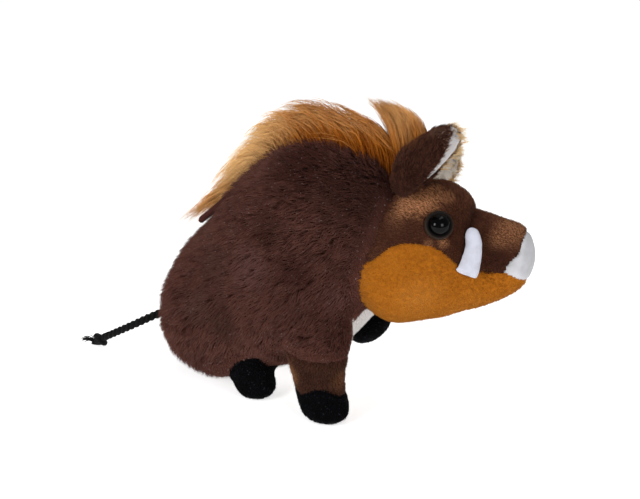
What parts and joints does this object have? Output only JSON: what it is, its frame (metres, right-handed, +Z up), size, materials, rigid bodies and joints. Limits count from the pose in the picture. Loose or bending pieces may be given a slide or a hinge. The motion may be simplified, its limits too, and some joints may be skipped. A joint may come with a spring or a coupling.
{
  "type": "plush toy wild boar",
  "caption": "Plush toy wild boar with a long-pile body, golden mane, orange jaw, felt tusks and a knotted cord tail, standing with one forepaw raised.",
  "frame": {"origin": "on the floor, under the middle of the toy's box measured without the tail and the hang loop", "axes": "+X towards the nose, +Y to the toy's left, +Z up"},
  "size_m": [0.3242, 0.1156, 0.207],
  "materials": {
    "long_pile": "long dark brown pile, fluffy and mottled",
    "short_pile": "short mid-brown pile",
    "orange_plush": "short golden orange pile",
    "mane_hair": "long golden hair",
    "white_plush": "short off-white pile",
    "white_felt": "smooth white felt",
    "black_plush": "short black pile with a slight sparkle",
    "black_cord": "braided black cord",
    "eye_plastic": "glossy black",
    "eye_washer": "dark translucent plastic",
    "loop_braid": "ribbed maroon braid"
  },
  "bodies": {
    "root": {"trunk": "long_pile", "belly_panel": "white_plush", "foreleg_right": "long_pile", "foreleg_left": "long_pile", "foreleg_cuff_right": "short_pile", "foreleg_cuff_left": "short_pile", "foreleg_inner_right": "white_plush", "foreleg_inner_left": "white_plush", "hoof_fore_right": "black_plush", "hoof_fore_left": "black_plush", "hindleg_right": "long_pile", "hindleg_left": "long_pile", "hoof_hind_right": "black_plush", "hoof_hind_left": "black_plush", "head": "short_pile", "muzzle": "short_pile", "jaw": "orange_plush", "nose": "white_felt", "ear_right": "short_pile", "ear_left": "short_pile", "ear_lining_right": "white_felt", "ear_lining_left": "white_felt", "eye_right": "eye_plastic", "eye_left": "eye_plastic", "eye_rim_right": "eye_washer", "eye_rim_left": "eye_washer", "tusk_right": "white_felt", "tusk_left": "white_felt", "mane_back": "mane_hair", "mane_forelock": "mane_hair", "tail": "black_cord", "tail_knot": "black_cord", "hang_loop": "loop_braid"}
  },
  "joints": []
}
